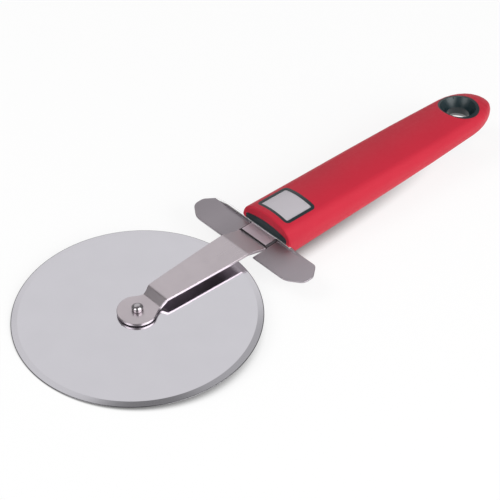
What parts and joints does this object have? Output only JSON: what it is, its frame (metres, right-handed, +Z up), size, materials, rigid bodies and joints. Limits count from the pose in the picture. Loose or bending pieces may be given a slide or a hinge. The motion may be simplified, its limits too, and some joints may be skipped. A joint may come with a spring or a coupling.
{
  "type": "pizza cutter wheel",
  "caption": "Hand-held pizza cutter: a round steel blade turning on a cranked steel arm, with a pressed finger guard and a red soft-grip handle with a hang hole.",
  "frame": {"origin": "centre of the footprint, on the table that the tool lies on", "axes": "+X from the blade to the end of the handle, +Z up from the table; the tool lies nose down, so the blade's own axis leans back from +Z by about 3.6 degrees"},
  "size_m": [0.246, 0.095, 0.02],
  "materials": {
    "blade_steel": "bright rolled, ground edge",
    "pressed_steel": "bright rolled sheet",
    "axle_steel": "polished",
    "core_plastic": "glossy",
    "grip_rubber": "satin soft touch",
    "badge_metal": "satin",
    "badge_foam": "matt"
  },
  "bodies": {
    "frame": {"arm": "pressed_steel", "guard": "pressed_steel", "axle_rivet": "axle_steel", "axle_bush": "axle_steel", "upper_washer": "axle_steel", "lower_washer": "axle_steel", "handle_core": "core_plastic", "grip_skin": "grip_rubber", "badge_plate": "badge_metal", "badge_pad": "badge_foam"},
    "wheel": {"blade": "blade_steel"}
  },
  "joints": [
    {"name": "blade_spin", "type": "hinge", "parent": "frame", "child": "wheel", "pos_m": [-0.07555, 0, 0.00331], "axis": [-0.0624, 0, 0.998], "continuous": true}
  ]
}
